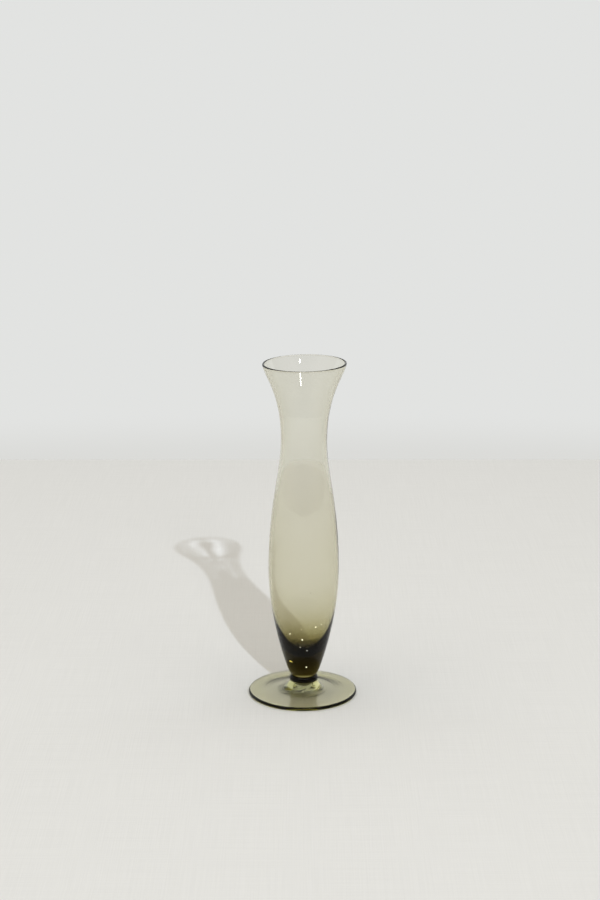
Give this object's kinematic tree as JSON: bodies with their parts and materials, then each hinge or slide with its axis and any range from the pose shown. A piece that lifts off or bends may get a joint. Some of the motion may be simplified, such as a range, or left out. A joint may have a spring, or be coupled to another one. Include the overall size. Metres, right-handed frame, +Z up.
{
  "type": "bud vase",
  "caption": "Slender blown-glass bud vase with a flared mouth, narrow waist, long belly and thick solid base, joined by a small collar to a round spun foot.",
  "frame": {"origin": "middle of the foot's resting face, on the table", "axes": "+Z up the vase's own axis, from the foot to the mouth; the vase is round, so +X and +Y have no meaning of their own"},
  "size_m": [0.0576, 0.0576, 0.18],
  "materials": {
    "bowl_glass": "fire-polished transparent smoke-coloured glass, clear at the thin walls and dark olive in the solid base",
    "collar_glass": "fire-polished transparent smoke-coloured glass",
    "foot_glass": "fire-polished transparent smoke-coloured glass with faint tooling rings"
  },
  "bodies": {
    "root": {"bowl": "bowl_glass", "collar": "collar_glass", "foot": "foot_glass"}
  },
  "joints": []
}
